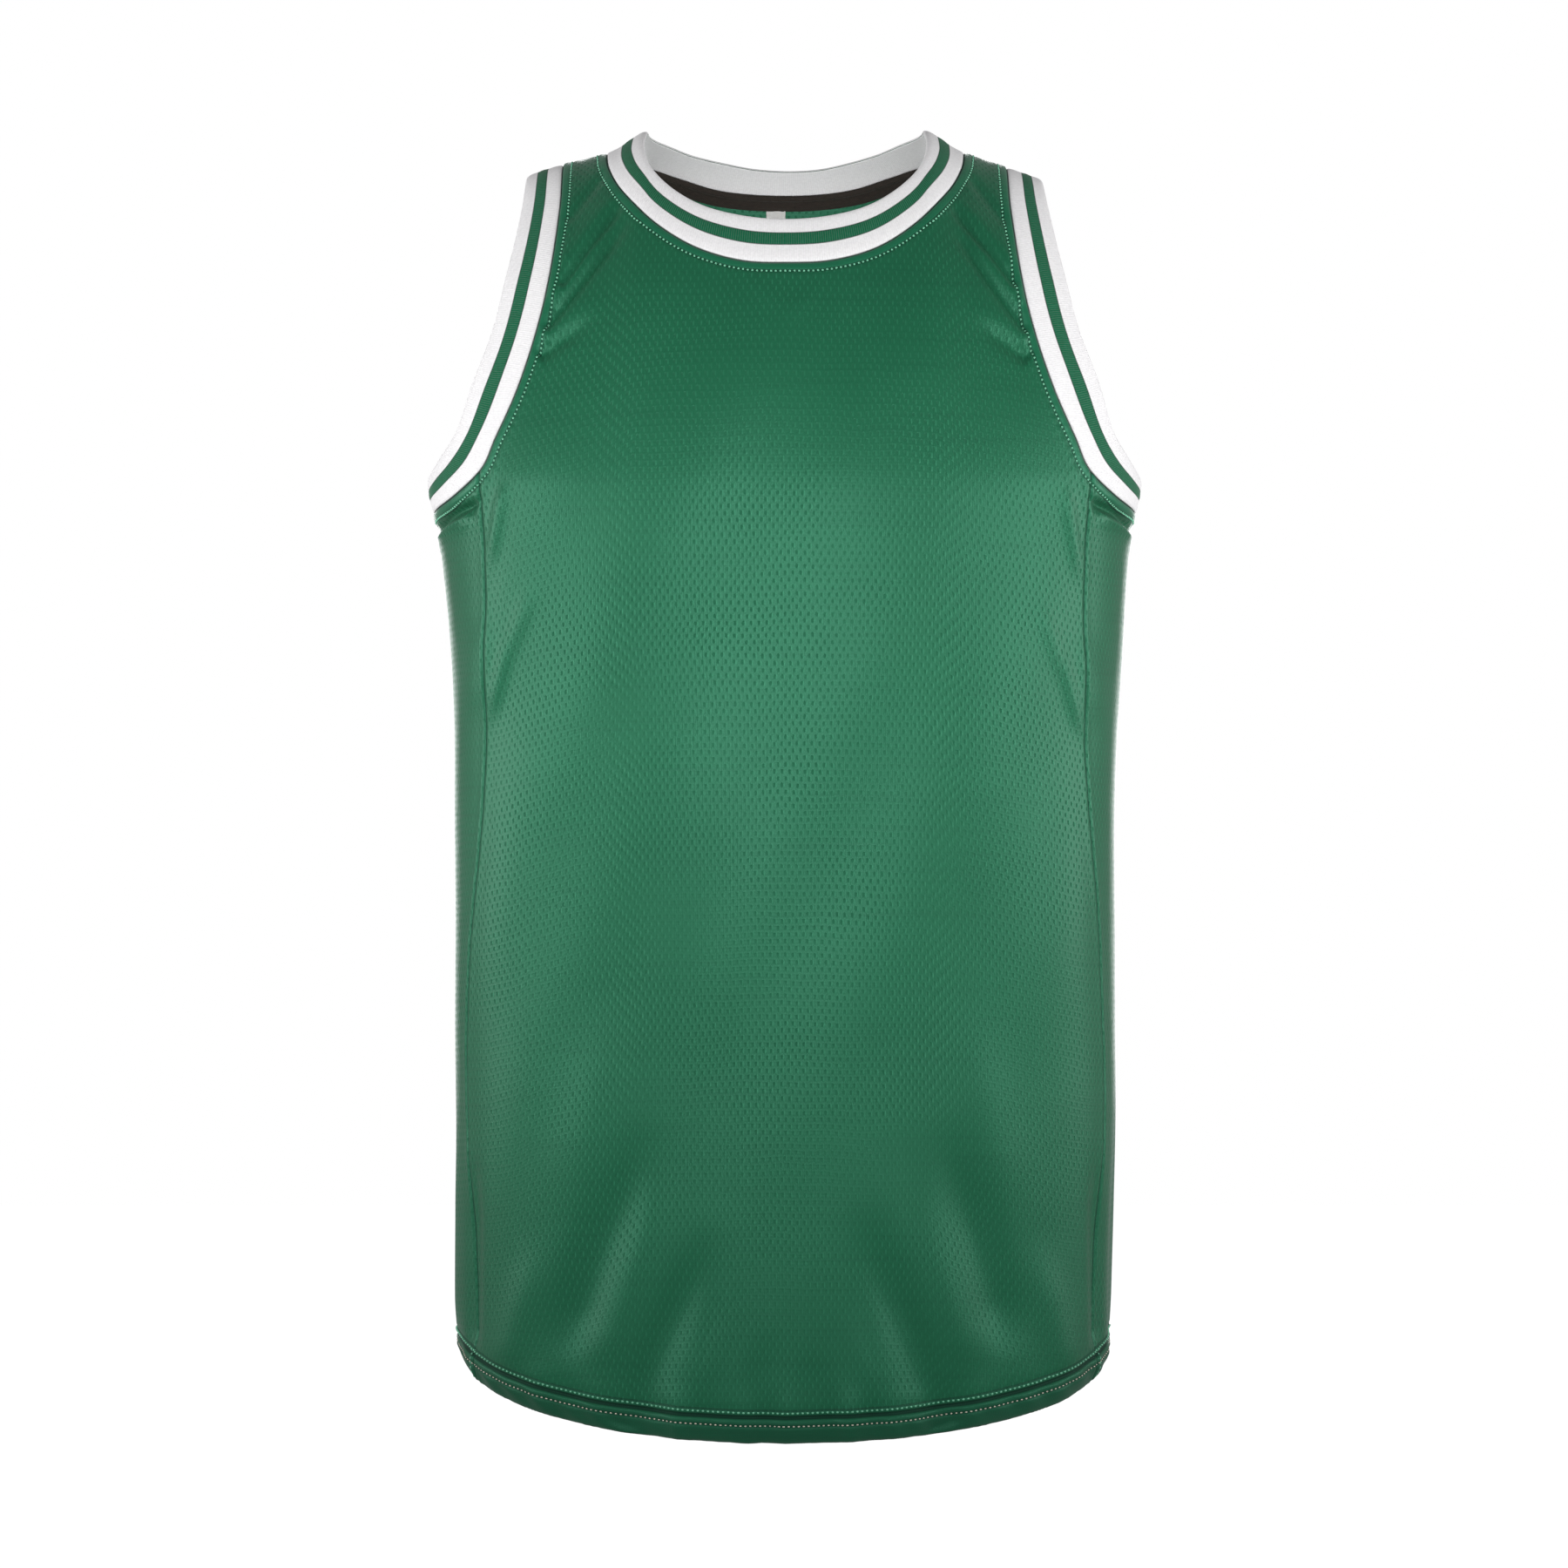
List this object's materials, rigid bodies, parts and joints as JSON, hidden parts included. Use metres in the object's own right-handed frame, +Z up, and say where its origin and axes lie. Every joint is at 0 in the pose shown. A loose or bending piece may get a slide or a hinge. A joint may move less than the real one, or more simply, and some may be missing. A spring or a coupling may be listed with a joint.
{
  "type": "sleeveless mesh jersey",
  "caption": "Sleeveless round-neck mesh jersey, filled out and hollow, with striped rib bands at neck and armholes and a turned, curved hem.",
  "frame": {"origin": "middle of the neck opening, level with the high points of the shoulders, where a wearer's neck and shoulders hold it", "axes": "+Z up, the front faces -Y, +X is the jersey's left side, as the wearer has it"},
  "size_m": [0.417, 0.2497, 0.758],
  "materials": {
    "green_mesh": "soft satin polyester mesh",
    "white_rib": "matt rib knit with a green stripe",
    "dark_tape": "matt woven tape",
    "plain_label": "smooth woven label, bare"
  },
  "bodies": {
    "root": {"front_panel": "green_mesh", "back_panel": "green_mesh", "side_panel_left": "green_mesh", "side_panel_right": "green_mesh", "neck_band": "white_rib", "armhole_band_left": "white_rib", "armhole_band_right": "white_rib", "neck_tape": "dark_tape", "neck_label": "plain_label"}
  },
  "joints": []
}
